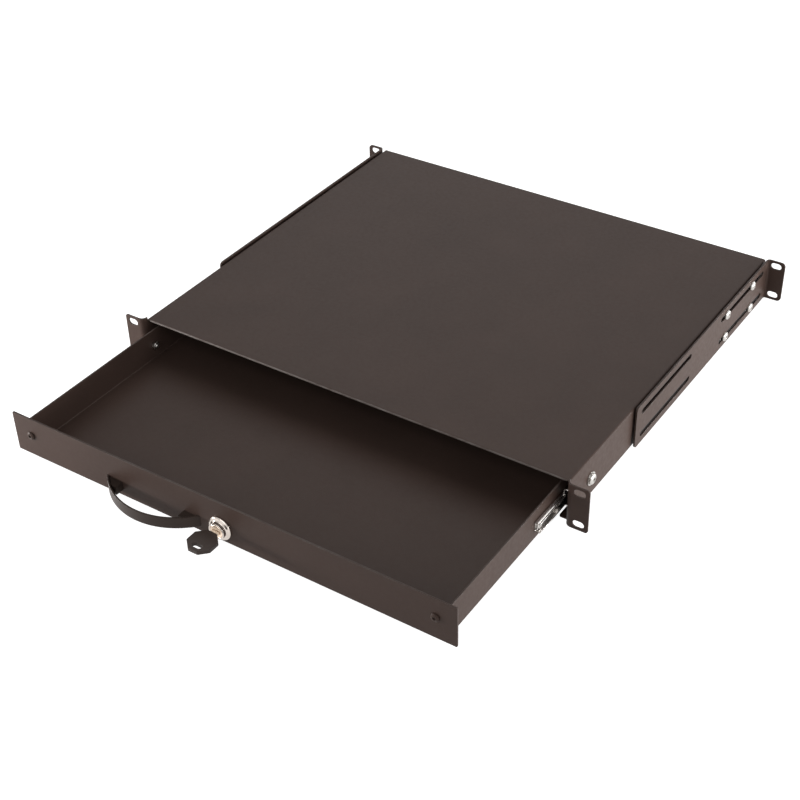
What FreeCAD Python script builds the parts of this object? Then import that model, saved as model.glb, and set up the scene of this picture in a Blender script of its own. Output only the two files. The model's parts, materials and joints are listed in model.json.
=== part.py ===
import FreeCAD, Part
import math
import os
import re

import Sketcher
from FreeCAD import Vector

# Driving sizes in millimetres. X runs to the right, Y back into the rack and Z up.
# The origin is the centre of the front ears' slot pattern, on the ears' front face.
SIZES = {
    # Rack interface
    "rack_width": 482.6,
    "slot_edge": 8.75,
    "rack_slot_z": 31.75,
    "slot_length": 10.5,
    "slot_width": 6.6,
    "ear_height": 43.6,
    "ear_corner": 2.5,
    "ear_bend": 6.0,
    "ear_reach": 20.3,
    # Case
    "sheet": 1.2,
    "fold": 2.0,
    "seat": 0.05,
    "case_depth": 400.0,
    "top_step": 2.0,
    "low_step": 0.8,
    "flange_width": 9.0,
    "flange_corner": 2.0,
    "hem_depth": 3.0,
    "hem_inset": 4.0,
    "rear_lip": 12.0,
    # Drawer
    "pull_out": 164.8,
    "over_pull": 45.2,
    "closed_gap": 0.2,
    "panel_overhang": 0.5,
    "panel_rise": 4.6,
    "panel_thick": 1.5,
    "panel_corner": 1.0,
    "panel_screw_inset": 8.7,
    "panel_screw_drop": 9.6,
    "tray_headroom": 5.2,
    "tray_back_gap": 12.45,
    "tray_rise": 0.4,
    "tab_width": 16.0,
    # Slides
    "slide_gap": 8.3,
    "slide_drop": 0.7,
    "rail_sheet": 1.0,
    "rail_height": 17.0,
    "rail_reach": 6.6,
    "rail_inset": 4.0,
    "rail_clear": 5.2,
    "rail_screw": 32.0,
    "rail_rivet": 12.0,
    "lip_drop": 0.5,
    "runner_inset": 129.0,
    "runner_end": 4.0,
    "runner_edge": 3.0,
    "runner_flange": 1.3,
    "runner_screw": 4.5,
    "runner_pitch": 30.5,
    "ball_radius": 1.1,
    "race_clear": 0.3,
    "groove_rise": 0.9,
    "cage_margin": 20.0,
    "cage_sheet": 0.6,
    "cage_offset": 1.6,
    "cage_grip": 0.8,
    "cage_clear": 0.15,
    "ball_margin": 10.0,
    # Rear brackets
    "bracket_stand": 2.0,
    "bracket_thick": 1.5,
    "bracket_bend": 2.0,
    "bracket_length": 283.5,
    "bracket_height": 42.4,
    "bracket_overhang": 0.5,
    "bracket_corner": 4.0,
    "bracket_slot_z": 24.4,
    "bracket_slot_width": 5.4,
    "bracket_slot_length": 99.0,
    "rear_slot_inset": 61.5,
    "slot_spacing": 163.0,
    "bracket_screw_inset": 38.8,
    "bracket_pitch": 58.5,
    "standoff_radius": 4.5,
    # Handle
    "handle_x": -68.5,
    "handle_up": 10.3,
    "handle_span": 99.0,
    "handle_height": 11.0,
    "handle_rise": 22.8,
    "handle_strap": 1.8,
    "handle_foot": 2.4,
    "handle_round": 0.6,
    "handle_grip": 5.0,
    "boss_length": 16.5,
    "boss_shoulder": 9.0,
    "boss_end": 3.5,
    "boss_depth": 8.0,
    "boss_side": 3.0,
    "boss_height": 8.0,
    "boss_screw": 11.5,
    # Lock and key
    "lock_x": 2.0,
    "lock_up": 13.2,
    "bezel_radius": 11.0,
    "bezel_nose": 7.6,
    "bezel_rim": 1.5,
    "bezel_rise": 6.0,
    "barrel_radius": 8.0,
    "barrel_length": 12.5,
    "plug_radius": 6.0,
    "running_fit": 0.05,
    "plug_recess": 0.2,
    "tail_square": 6.0,
    "cam_thick": 2.0,
    "cam_hub": 7.5,
    "cam_width": 10.0,
    "cam_clear": 1.5,
    "strike_thick": 1.2,
    "strike_width": 28.0,
    "strike_drop": 5.3,
    "strike_foot": 14.0,
    "lock_nut_flats": 20.0,
    "lock_nut_thick": 3.5,
    "blade_width": 7.0,
    "blade_thick": 2.0,
    "blade_inside": 14.2,
    "blade_shank": 3.0,
    "blade_tang": 8.0,
    "keyway_clear": 0.2,
    "key_width": 23.5,
    "key_length": 24.5,
    "key_thick": 3.4,
    "key_cut": 7.0,
    "key_hole_length": 9.5,
    "key_hole_width": 4.6,
    "key_hole_edge": 5.5,
    "key_round": 2.0,
    "key_shift": 1.2,
    "key_tip": 2.5,
    "first_cut": 2.8,
    "cut_pitch": 2.4,
    "cut_step": 0.2,
    "cam_corner": 1.5,
    "cam_thread": 4.2,
    # Fasteners
    "bolt_radius": 2.0,
    "bolt_clear": 0.2,
    "bolt_end": 1.0,
    "bolt_nut_flats": 7.0,
    "bolt_nut_thick": 3.2,
    "bracket_bolt": 2.5,
    "washer_radius": 6.2,
    "washer_thick": 1.0,
    "panel_head_radius": 3.9,
    "panel_head_rise": 2.0,
    "panel_head_round": 1.6,
    "pan_head_radius": 3.6,
    "pan_head_rise": 2.2,
    "pan_head_round": 1.0,
    "cam_head_radius": 4.0,
    "cam_head_rise": 2.2,
    "cam_head_round": 1.0,
    "rail_head_radius": 5.0,
    "rail_head_rise": 2.6,
    "rail_head_round": 2.0,
    "rivet_head_radius": 4.0,
    "rivet_head_rise": 1.0,
    "rivet_head_round": 0.6,
    "bracket_head_radius": 4.6,
    "bracket_head_rise": 2.6,
    "bracket_head_round": 1.8,
}

# Sizes that follow from the driving ones.
DERIVED = {
    "rack_half": "rack_width / 2",
    "ear_z": "ear_height / 2",
    "rack_slot_x": "rack_width - 2 * slot_edge",
    "case_half": "rack_half - ear_reach",
    "case_in": "case_half - sheet",
    "case_top": "ear_z - top_step",
    "case_low": "low_step - ear_z",
    "fold_in": "fold - sheet",
    "mouth": "ear_bend + sheet",
    "panel_half": "case_half + panel_overhang",
    "panel_front": "-pull_out - closed_gap",
    "panel_back": "panel_front + panel_thick",
    "panel_low": "panel_rise - ear_z",
    "tray_half": "case_in - slide_gap",
    "tray_in": "tray_half - sheet",
    "tray_front": "panel_back + seat",
    "tray_back": "case_depth - sheet - tray_back_gap - pull_out",
    "tray_low": "panel_low + tray_rise",
    "tray_top": "case_top - sheet - tray_headroom",
    "panel_screw_x": "tray_half - panel_screw_inset",
    "panel_screw_z": "tray_top - panel_screw_drop",
    "bracket_back": "case_depth + bracket_overhang",
    "bracket_front": "bracket_back - bracket_length",
    "bracket_z": "bracket_height / 2",
    "rear_slot": "bracket_back - rear_slot_inset",
    "front_slot": "rear_slot - slot_spacing",
    "bracket_screw": "case_depth - bracket_screw_inset - bracket_pitch",
    "slide_z": "(tray_low + tray_top) / 2 - slide_drop",
    "race": "ball_radius + race_clear",
    "rail_half": "rail_height / 2",
    "rail_front": "ear_bend + rail_inset",
    "rail_back": "bracket_screw - standoff_radius - rail_clear",
    "ball_u": "rail_reach - rail_sheet - race",
    "ball_w": "rail_half - rail_sheet - race",
    "lip_end": "ball_w - lip_drop",
    "runner_half": "ball_w - groove_rise",
    "runner_in": "runner_half - runner_flange",
    "runner_web": "slide_gap - seat - rail_sheet",
    "runner_front": "tray_front + runner_inset",
    "runner_back": "tray_back - runner_end",
    "runner_rivet": "runner_front + runner_screw",
    "runner_span": "runner_back - runner_screw - runner_rivet - runner_pitch",
    "groove_half": "sqrt(race ^ 2 - groove_rise ^ 2)",
    "cage_half": "ball_w + cage_sheet / 2",
    "cage_front": "rail_front + cage_margin + over_pull / 2",
    "cage_back": "rail_back - cage_margin - pull_out / 2",
    "ball_row": "cage_back - cage_front - 2 * ball_margin",
    "bracket_in": "case_half + bracket_stand",
    "bracket_out": "bracket_in + bracket_thick",
    "handle_z": "panel_low + handle_up",
    "handle_half": "handle_span / 2",
    "handle_inner": "handle_half - handle_foot",
    "handle_hollow": "handle_rise - handle_strap",
    "handle_arc": "(handle_half ^ 2 + handle_rise ^ 2) / (2 * handle_rise)",
    "hollow_arc": "(handle_inner ^ 2 + handle_hollow ^ 2) / (2 * handle_hollow)",
    "handle_bolt": "handle_half - boss_screw",
    "lock_z": "panel_low + lock_up",
    "bezel_front": "panel_front - bezel_rise",
    "barrel_back": "panel_back + barrel_length",
    "plug_bore": "plug_radius + running_fit",
    "plug_face": "bezel_front + plug_recess",
    "plug_back": "barrel_back + 2 * plug_recess",
    "cam_front": "plug_back + seat",
    "cam_back": "cam_front + cam_thick",
    "strike_top": "case_top - sheet - seat",
    "strike_back": "cam_front + pull_out - cam_clear",
    "cam_length": "strike_top - strike_thick - cam_clear / 2 - lock_z",
    "key_back": "plug_face - blade_shank",
    "key_front": "key_back - key_length",
    "key_x": "lock_x - key_shift",
    "bolt_hole": "bolt_radius + bolt_clear",
    "bolt_thread": "bolt_radius + seat",
}

# Balls in each row of a cage.
BALLS_IN_ROW = 4

# Depths of the cuts along the key blade's edge, in steps.
KEY_CUTS = (4, 6, 3, 5)

NAMES = set(SIZES) | set(DERIVED)

DOC = FreeCAD.newDocument("rack_keyboard_drawer")
SHEET = DOC.addObject("Spreadsheet::Sheet", "Sizes")
ROWS = [(name, str(value)) for name, value in SIZES.items()]
ROWS += [(name, f"={formula}") for name, formula in DERIVED.items()]
for row, (name, text) in enumerate(ROWS, 1):
    SHEET.set(f"A{row}", name)
    SHEET.set(f"B{row}", text)
    SHEET.setAlias(f"B{row}", name)
DOC.recompute()

BODIES = []


# Expressions on the sheet

def bound(text):
    """The expression with every size name pointing at its cell in the sheet."""
    def cell(found):
        word = found.group()
        return f"Sizes.{word}" if word in NAMES else word
    return re.sub(r"[a-z][a-z0-9_]*", cell, str(text))


def number(text):
    return float(SHEET.evalExpression(bound(text)))


# Sketch outlines

def fix(sketch, geometry, vertex, x=None, y=None):
    """Holds a vertex at expressions measured from the sketch's origin."""
    for kind, text in (("DistanceX", x), ("DistanceY", y)):
        if text is None:
            continue
        limit = Sketcher.Constraint(kind, -1, 1, geometry, vertex, number(text))
        index = sketch.addConstraint(limit)
        sketch.setExpression(f"Constraints[{index}]", bound(text))


def join(sketch, first, first_end, second, second_end):
    sketch.addConstraint(Sketcher.Constraint("Coincident", first, first_end, second, second_end))


def line(sketch, start, end):
    spots = [Vector(number(x), number(y), 0) for x, y in (start, end)]
    return sketch.addGeometry(Part.LineSegment(*spots), False)


def arc(sketch, start, end, centre, first, last):
    """The short arc from start to end, joined to the (geometry, vertex) pairs given."""
    middle = Vector(number(centre[0]), number(centre[1]), 0)
    rays = [Vector(number(x), number(y), 0) - middle for x, y in (start, end)]
    angles = [math.atan2(ray.y, ray.x) for ray in rays]
    ahead = (angles[1] - angles[0]) % (2 * math.pi) < math.pi
    circle = Part.Circle(middle, Vector(0, 0, 1), rays[0].Length)
    span = angles if ahead else angles[::-1]
    geometry = sketch.addGeometry(Part.ArcOfCircle(circle, *span), False)
    ends = (1, 2) if ahead else (2, 1)
    for vertex, other in zip(ends, (first, last)):
        if other is not None:
            join(sketch, geometry, vertex, *other)
    level = abs(rays[0].y - rays[1].y) < 1e-6
    fix(sketch, geometry, 3, **({"y": centre[1]} if level else {"x": centre[0]}))
    return geometry, ends


def toward(spot, other):
    """Unit steps along the axes from one point to another on the same row or column."""
    return [0 if abs(b - a) < 1e-9 else int(math.copysign(1, b - a)) for a, b in zip(spot, other)]


def moved(corner, step, radius):
    return tuple(f"{text} + ({sign}) * ({radius})" if sign else text for text, sign in zip(corner, step))


def outline(corners):
    """A closed outline of (x, y), (x, y, radius) or (x, y, None, centre of the arc to the next) corners."""
    def draw(sketch):
        count = len(corners)
        spots = [(number(c[0]), number(c[1])) for c in corners]
        before, after, middles = [], [], []
        for k, corner in enumerate(corners):
            point = corner[:2]
            radius = corner[2] if len(corner) > 2 else None
            if radius is None:
                before.append(point)
                after.append(point)
                middles.append(None)
                continue
            back = toward(spots[k], spots[k - 1])
            ahead = toward(spots[k], spots[(k + 1) % count])
            before.append(moved(point, back, radius))
            after.append(moved(point, ahead, radius))
            middles.append(moved(moved(point, back, radius), ahead, radius))
        starts, ends = [], []
        for k, corner in enumerate(corners):
            nearby = (k + 1) % count
            if len(corner) > 3:
                side, (first, last) = arc(sketch, after[k], before[nearby], corner[3], None, None)
            else:
                side = line(sketch, after[k], before[nearby])
                first, last = 1, 2
            starts.append((side, first))
            ends.append((side, last))
            fix(sketch, side, first, *after[k])
        for k in range(count):
            if middles[k] is None:
                join(sketch, *ends[k - 1], *starts[k])
                continue
            fix(sketch, *ends[k - 1], *before[k])
            arc(sketch, before[k], after[k], middles[k], ends[k - 1], starts[k])
    return draw


def rectangle(x0, x1, y0, y1, radius=None):
    corners = ((x0, y0), (x1, y0), (x1, y1), (x0, y1))
    return outline([corner + ((radius,) if radius else ()) for corner in corners])


def oblong(x, y, length, width):
    """A slot with round ends along the sketch's first axis."""
    reach = f"(({length}) - ({width})) / 2"
    low, high = f"{y} - ({width}) / 2", f"{y} + ({width}) / 2"
    left, right = f"{x} - {reach}", f"{x} + {reach}"

    def draw(sketch):
        lower = line(sketch, (left, low), (right, low))
        upper = line(sketch, (right, high), (left, high))
        for side, start, end in ((lower, (left, low), (right, low)), (upper, (right, high), (left, high))):
            fix(sketch, side, 1, *start)
            fix(sketch, side, 2, *end)
        for spot, end, sign in ((right, (lower, 2, upper, 1), 1), (left, (upper, 2, lower, 1), -1)):
            middle = Vector(number(spot), number(y), 0)
            facing = 0 if sign > 0 else math.pi
            circle = Part.Circle(middle, Vector(0, 0, 1), number(width) / 2)
            curve = Part.ArcOfCircle(circle, facing - math.pi / 2, facing + math.pi / 2)
            cap = sketch.addGeometry(curve, False)
            join(sketch, cap, 1, end[0], end[1])
            join(sketch, cap, 2, end[2], end[3])
            fix(sketch, cap, 3, x=spot)
    return draw


def disc(x, y, radius):
    def draw(sketch):
        circle = Part.Circle(Vector(number(x), number(y), 0), Vector(0, 0, 1), number(radius))
        ring = sketch.addGeometry(circle, False)
        fix(sketch, ring, 3, x, y)
        index = sketch.addConstraint(Sketcher.Constraint("Radius", ring, number(radius)))
        sketch.setExpression(f"Constraints[{index}]", bound(radius))
    return draw


def hexagon(x, y, flats):
    """A six-sided outline with its corners left and right."""
    tip = f"({flats}) / sqrt(3)"
    half = f"({flats}) / 2"
    return outline([
        (f"{x} + {tip}", y), (f"{x} + {tip} / 2", f"{y} + {half}"), (f"{x} - {tip} / 2", f"{y} + {half}"),
        (f"{x} - {tip}", y), (f"{x} - {tip} / 2", f"{y} - {half}"), (f"{x} + {tip} / 2", f"{y} - {half}"),
    ])


# Solid features

def piece(label):
    body = DOC.addObject("PartDesign::Body", label)
    body.Label = label
    body.AllowCompound = True
    BODIES.append(body)
    return body


def datum(body, role):
    return next(item for item in body.Origin.OriginFeatures if item.Role == role)


def sketch_on(body, plane, level, outlines, shift=None):
    """Outlines drawn on a plane across X, Y or Z at the given level."""
    sketch = body.newObject("Sketcher::SketchObject", "Outline")
    sketch.AttachmentSupport = [(datum(body, f"{plane}_Plane"), "")]
    sketch.MapMode = "FlatFace"
    facing = "-1" if plane == "XZ" else "1"
    sketch.setExpression("AttachmentOffset.Base.z", f"{facing} * ({bound(level)})")
    for axis, text in (shift or {}).items():
        sketch.setExpression(f"AttachmentOffset.Base.{axis}", bound(text))
    for draw in outlines:
        draw(sketch)
    sketch.Visibility = False
    return sketch


def extrude(body, plane, level, length, *outlines):
    """Adds the outlines as a solid that runs from the level in the positive direction."""
    feature = body.newObject("PartDesign::Pad", "Pad")
    feature.Profile = sketch_on(body, plane, level, outlines)
    feature.setExpression("Length", bound(length))
    feature.Reversed = plane == "XZ"
    body.Tip = feature
    return feature


def carve(body, plane, level, length, *outlines):
    """Cuts the outlines out of the solid from the level in the positive direction."""
    DOC.recompute()
    volume = body.Shape.Volume
    feature = body.newObject("PartDesign::Pocket", "Pocket")
    feature.Profile = sketch_on(body, plane, level, outlines)
    feature.setExpression("Length", bound(length))
    feature.Reversed = plane != "XZ"
    body.Tip = feature
    DOC.recompute()
    if body.Shape.Volume > volume - 0.01:
        raise RuntimeError(f"a cut in {body.Label} removes nothing")
    return feature


def turn(body, along, place, corners):
    """A turned solid about a line along X or Y; corners are (position along the line, radius, rounding)."""
    x, y, z = place
    if along == "X":
        shift, axis, drawn = {"y": y}, "H_Axis", corners
    else:
        shift, axis, drawn = {"x": x}, "V_Axis", [(c[1], c[0], *c[2:]) for c in corners]
    feature = body.newObject("PartDesign::Revolution", "Turned")
    sketch = sketch_on(body, "XY", z, [outline(drawn)], shift)
    feature.Profile = sketch
    feature.ReferenceAxis = (sketch, [axis])
    feature.Angle = 360
    body.Tip = feature
    return feature


def repeat(body, feature, *steps):
    """Copies a feature: a step is ("Y", distance, count) along an axis, or "mirror" left to right."""
    DOC.recompute()
    group = body.newObject("PartDesign::MultiTransform", "Places")
    group.Originals = [feature]
    moves = []
    for step in steps:
        if step == "mirror":
            move = DOC.addObject("PartDesign::Mirrored", "Mirrored")
            move.MirrorPlane = (datum(body, "YZ_Plane"), [""])
        else:
            axis, distance, count = step
            move = DOC.addObject("PartDesign::LinearPattern", "Row")
            move.Direction = (datum(body, f"{axis}_Axis"), [""])
            move.setExpression("Length", bound(distance))
            move.Occurrences = count
        moves.append(move)
    group.Transformations = moves
    for move in moves:
        body.addObject(move)
    body.Tip = group
    DOC.recompute()


def screw(label, along, place, tip, face, shank, head, outward, *steps):
    """Fasteners with a shank from tip to face and a rounded head that stands outward from the face."""
    radius, rise, rounding = (f"{head}_{part}" for part in ("radius", "rise", "round"))
    crown = f"{face} + ({outward}) * {rise}"
    body = piece(label)
    shape = turn(body, along, place, [
        (tip, "0"), (tip, shank), (face, shank), (face, radius), (crown, radius, rounding), (crown, "0"),
    ])
    if steps:
        repeat(body, shape, *steps)


def nut(label, plane, level, thick, flats, bore, x, y, *steps):
    body = piece(label)
    shape = extrude(body, plane, level, thick, hexagon(x, y, flats), disc(x, y, bore))
    if steps:
        repeat(body, shape, *steps)


def round_edges(body, radius, *places):
    """Rounds the edges that lie at one of the places, each a dictionary of coordinates."""
    DOC.recompute()
    solid = body.Tip
    targets = [{axis: number(text) for axis, text in place.items()} for place in places]

    def lies_at(box, target):
        spans = {"x": (box.XMin, box.XMax), "y": (box.YMin, box.YMax), "z": (box.ZMin, box.ZMax)}
        return all(abs(end - value) < 0.01 for axis, value in target.items() for end in spans[axis])

    names = []
    for index, edge in enumerate(solid.Shape.Edges, 1):
        if any(lies_at(edge.BoundBox, target) for target in targets):
            names.append(f"Edge{index}")
    feature = body.newObject("PartDesign::Fillet", "Rounding")
    feature.Base = (solid, names)
    feature.setExpression("Radius", bound(radius))
    body.Tip = feature


def sided(side, text):
    return f"({side}) * ({text})"


def both_sides(make):
    for side, word in ((-1, "left"), (1, "right")):
        make(side, word)


# Case

def case_shell():
    body = piece("case_shell")
    inner_edge = "case_half - flange_width"
    low_in, top_in = "case_low + sheet", "case_top - sheet"
    section = [
        (f"-({inner_edge})", "case_low"), ("-case_half", "case_low", "fold"),
        ("-case_half", "case_top", "fold"), ("case_half", "case_top", "fold"),
        ("case_half", "case_low", "fold"), (inner_edge, "case_low"),
        (inner_edge, low_in), ("case_in", low_in, "fold_in"), ("case_in", top_in, "fold_in"),
        ("-case_in", top_in, "fold_in"), ("-case_in", low_in, "fold_in"), (f"-({inner_edge})", low_in),
    ]
    extrude(body, "XZ", "ear_bend", "case_depth - ear_bend", outline(section))
    corners = [{"y": "ear_bend", "x": sided(side, inner_edge)} for side in (-1, 1)]
    round_edges(body, "flange_corner", *corners)

    # Front ears, each bent outwards from the side wall.
    bend = "case_in + ear_bend"
    for side in (-1, 1):
        centre = (sided(side, bend), "ear_bend")
        ear = [
            (sided(side, "case_in"), "ear_bend", None, centre), (sided(side, bend), "0"),
            (sided(side, "rack_half"), "0"), (sided(side, "rack_half"), "sheet"),
            (sided(side, bend), "sheet", None, centre), (sided(side, "case_half"), "ear_bend"),
        ]
        extrude(body, "XY", "-ear_z", "ear_height", outline(ear))
    corners = [{"x": f"{a}rack_half", "z": f"{b}ear_z"} for a in ("", "-") for b in ("", "-")]
    round_edges(body, "ear_corner", *corners)

    # The top's front edge is set back at the bends and hemmed under.
    hem_half = "case_half - hem_inset"
    carve(body, "XY", top_in, "2 * sheet", rectangle(f"-({hem_half})", hem_half, "0", "mouth"))
    hem_end = "mouth + hem_depth"
    hem = [
        ("mouth", "case_top", None, ("mouth", top_in)), ("ear_bend", top_in, None, ("mouth", top_in)),
        ("mouth", "case_top - 2 * sheet"), (hem_end, "case_top - 2 * sheet"), (hem_end, "case_top"),
    ]
    extrude(body, "YZ", f"-({hem_half})", f"2 * ({hem_half})", outline(hem))
    lip = rectangle(f"-({hem_half})", hem_half, "case_top - rear_lip", top_in)
    extrude(body, "XZ", "case_depth - sheet", "sheet", lip)

    rack_slots = [oblong(f"{a}rack_slot_x / 2", f"{b}rack_slot_z / 2", "slot_length", "slot_width")
                  for a in ("", "-") for b in ("", "-")]
    carve(body, "XZ", "-sheet", "3 * sheet", *rack_slots)
    rail_ends = ("rail_front + rail_screw", "rail_back - rail_rivet")
    slide_holes = [disc(y, "slide_z", "bolt_hole") for y in rail_ends]
    standoff_holes = [disc(y, f"{b}bracket_slot_z / 2", "standoff_radius + seat")
                      for y in ("bracket_screw", "bracket_screw + bracket_pitch") for b in ("", "-")]
    carve(body, "YZ", "-case_half - 1", "2 * case_half + 2", *slide_holes, *standoff_holes)


def lock_strike():
    """The angle under the case top that the cam turns up behind."""
    body = piece("lock_strike")
    leg, foot = "strike_back - strike_thick", "strike_back + strike_foot"
    low = "strike_top - strike_drop"
    section = [
        (leg, "strike_top", "2 * strike_thick"), (foot, "strike_top"), (foot, "strike_top - strike_thick"),
        ("strike_back", "strike_top - strike_thick", "strike_thick"), ("strike_back", low), (leg, low),
    ]
    extrude(body, "YZ", "lock_x - strike_width / 2", "strike_width", outline(section))


# Drawer

def drawer_tray():
    body = piece("drawer_tray")
    floor = "tray_low + sheet"
    section = [
        ("-tray_half", "tray_top"), ("-tray_half", "tray_low", "fold"), ("tray_half", "tray_low", "fold"),
        ("tray_half", "tray_top"), ("tray_in", "tray_top"), ("tray_in", floor, "fold_in"),
        ("-tray_in", floor, "fold_in"), ("-tray_in", "tray_top"),
    ]
    extrude(body, "XZ", "tray_front", "tray_back - tray_front", outline(section))
    extrude(body, "XZ", "tray_back - sheet", "sheet", rectangle("-tray_in", "tray_in", floor, "tray_top"))
    for side in (-1, 1):
        tab = rectangle(sided(side, "tray_half - tab_width"), sided(side, "tray_in"), floor, "tray_top")
        extrude(body, "XZ", "tray_front", "sheet", tab)
    screws = [disc(f"{a}panel_screw_x", "panel_screw_z", "bolt_hole") for a in ("", "-")]
    carve(body, "XZ", "tray_front - 1", "sheet + 2", *screws)
    carve(body, "YZ", "-tray_half - 1", "2 * tray_half + 2", *runner_holes("bolt_hole"))


def front_panel():
    body = piece("front_panel")
    plate = rectangle("-panel_half", "panel_half", "panel_low", "ear_z", "panel_corner")
    extrude(body, "XZ", "panel_front", "panel_thick", plate)
    screws = [disc(f"{a}panel_screw_x", "panel_screw_z", "bolt_hole") for a in ("", "-")]
    feet = [disc(f"handle_x {a} handle_bolt", "handle_z", "bolt_hole") for a in ("+", "-")]
    barrel = disc("lock_x", "lock_z", "barrel_radius + seat")
    carve(body, "XZ", "panel_front - 1", "panel_thick + 2", *screws, *feet, barrel)


def panel_fasteners():
    x, z = "panel_screw_x", "panel_screw_z"
    behind = "tray_front + sheet + seat"
    tip = f"{behind} + bolt_nut_thick + bolt_end"
    screw("panel_screws", "Y", (x, "0", z), tip, "panel_front - seat",
          "bolt_radius", "panel_head", -1, "mirror")
    nut("panel_nuts", "XZ", behind, "bolt_nut_thick", "bolt_nut_flats", "bolt_thread", x, z, "mirror")


def pull_handle():
    """A bowed strap of black moulding with a boss for a screw inside each end."""
    body = piece("pull_handle")
    face = "panel_front - seat"
    crown, hollow = f"{face} - handle_rise + handle_arc", f"{face} - handle_hollow + hollow_arc"
    bow = [
        ("handle_x - handle_half", face, None, ("handle_x", crown)), ("handle_x + handle_half", face),
        ("handle_x + handle_inner", face, None, ("handle_x", hollow)), ("handle_x - handle_inner", face),
    ]
    extrude(body, "XY", "handle_z - handle_height / 2", "handle_height", outline(bow))
    DOC.recompute()
    solid = body.Tip
    arcs = [f"Edge{k}" for k, edge in enumerate(solid.Shape.Edges, 1)
            if isinstance(edge.Curve, Part.Circle)]
    feature = body.newObject("PartDesign::Fillet", "Rounding")
    feature.Base = (solid, arcs)
    feature.setExpression("Radius", bound("handle_round"))
    body.Tip = feature
    deep, shallow = f"{face} - boss_depth", f"{face} - boss_side"
    for sign in ("+", "-"):
        inner, shoulder, outer = (f"handle_x {sign} (handle_half - {inset})"
                                  for inset in ("boss_length", "boss_shoulder", "boss_end"))
        boss = [(inner, face), (inner, deep), (shoulder, deep), (outer, shallow), (outer, face)]
        extrude(body, "XY", "handle_z - boss_height / 2", "boss_height", outline(boss))
    holes = [disc(f"handle_x {a} handle_bolt", "handle_z", "bolt_thread") for a in ("+", "-")]
    carve(body, "XZ", f"{face} - handle_grip - bolt_end", "handle_grip + 2 * bolt_end", *holes)
    place = ("handle_x - handle_bolt", "0", "handle_z")
    screw("handle_screws", "Y", place, f"{face} - handle_grip", "panel_back + seat",
          "bolt_radius", "pan_head", 1, ("X", "2 * handle_bolt", 2))


# Lock and key

def about_lock(width, height):
    """A rectangle about the lock's axis, from its half sizes."""
    low, high = f"lock_z - ({height})", f"lock_z + {height}"
    return rectangle(f"lock_x - ({width})", f"lock_x + {width}", low, high)


def lock():
    axis = ("lock_x", "0", "lock_z")
    seat = "panel_front - seat"
    body = piece("lock_body")
    turn(body, "Y", axis, [
        ("bezel_front", "plug_bore"), ("bezel_front", "bezel_nose"),
        (f"{seat} - bezel_rim", "bezel_radius"), (seat, "bezel_radius"),
        (seat, "barrel_radius"), ("barrel_back", "barrel_radius"),
        ("barrel_back", "plug_bore"),
    ])
    nut("lock_nut", "XZ", "panel_back + seat", "lock_nut_thick", "lock_nut_flats", "barrel_radius + seat",
        "lock_x", "lock_z")

    body = piece("lock_plug")
    turn(body, "Y", axis, [
        ("plug_face", "0"), ("plug_face", "plug_radius"), ("plug_back", "plug_radius"), ("plug_back", "0"),
    ])
    half = "tail_square / 2"
    extrude(body, "XZ", "plug_back", "cam_thick", about_lock(half, half))
    keyway = about_lock("blade_width / 2 + keyway_clear", "blade_thick / 2 + keyway_clear")
    carve(body, "XZ", "plug_face - 1", "blade_inside + keyway_clear + 1", keyway)
    thread = disc("lock_x", "lock_z", "bolt_thread")
    carve(body, "XZ", "plug_back - cam_thread", "cam_thread + cam_thick + 1", thread)

    body = piece("lock_cam")
    extrude(body, "XZ", "cam_front", "cam_thick", disc("lock_x", "lock_z", "cam_hub"))
    low, high = "lock_z - cam_width / 2", "lock_z + cam_width / 2"
    arm = rectangle("lock_x", "lock_x + cam_length", low, high, "cam_corner")
    extrude(body, "XZ", "cam_front", "cam_thick", arm)
    drive = f"{half} + seat"
    carve(body, "XZ", "cam_front - 1", "cam_thick + 2", about_lock(drive, drive))
    screw("cam_screw", "Y", axis, "plug_back - cam_thread + seat", "cam_back + seat",
          "bolt_radius", "cam_head", 1)


def key():
    """The blade has its cuts along one edge; its tang sits in a slot of the moulded head."""
    body = piece("key_blade")
    left, right = "lock_x - blade_width / 2", "lock_x + blade_width / 2"
    tip = "plug_face + blade_inside"
    edge = [(left, "key_back - blade_tang"), (right, "key_back - blade_tang")]
    for index, steps in enumerate(KEY_CUTS):
        depth = f"{steps} * cut_step"
        middle = f"plug_face + first_cut + {index} * cut_pitch"
        edge += [(right, f"{middle} - {depth}"), (f"{right} - {depth}", middle)]
        edge += [(right, f"{middle} + {depth}")]
    edge += [(right, f"{tip} - key_tip"), ("lock_x", tip), (left, f"{tip} - key_tip")]
    extrude(body, "XY", "lock_z - blade_thick / 2", "blade_thick", outline(edge))

    body = piece("key_head")
    side, cut = "key_width / 2", "key_width / 2 - key_cut"
    ring = [
        (f"key_x - ({cut})", "key_back"), (f"key_x + {cut}", "key_back"),
        (f"key_x + {side}", "key_back - key_cut"), (f"key_x + {side}", "key_front + key_cut"),
        (f"key_x + {cut}", "key_front"), (f"key_x - ({cut})", "key_front"),
        (f"key_x - {side}", "key_front + key_cut"), (f"key_x - {side}", "key_back - key_cut"),
    ]
    hole = oblong("key_x", "key_front + key_hole_edge", "key_hole_length", "key_hole_width")
    extrude(body, "XY", "lock_z - key_thick / 2", "key_thick", outline(ring), hole)
    round_edges(body, "key_round", *({"x": x, "y": y} for x, y in ring))
    slot = about_lock("blade_width / 2 + seat", "blade_thick / 2 + seat")
    carve(body, "XZ", "key_back - blade_tang - seat", "blade_tang + 1", slot)


# Slides: positions across the gap run from the case wall (0) to the tray wall (slide_gap)

def across(side, text):
    return sided(side, f"case_in - ({text})")


def slide_section(side, points):
    """A section that is the same above and below the slide's middle, from its upper half."""
    upper = [(across(side, p[0]), f"slide_z + {p[1]}", *p[2:]) for p in points]
    lower = [(across(side, p[0]), f"slide_z - ({p[1]})", *p[2:3]) for p in reversed(points)]
    return upper, lower


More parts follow.
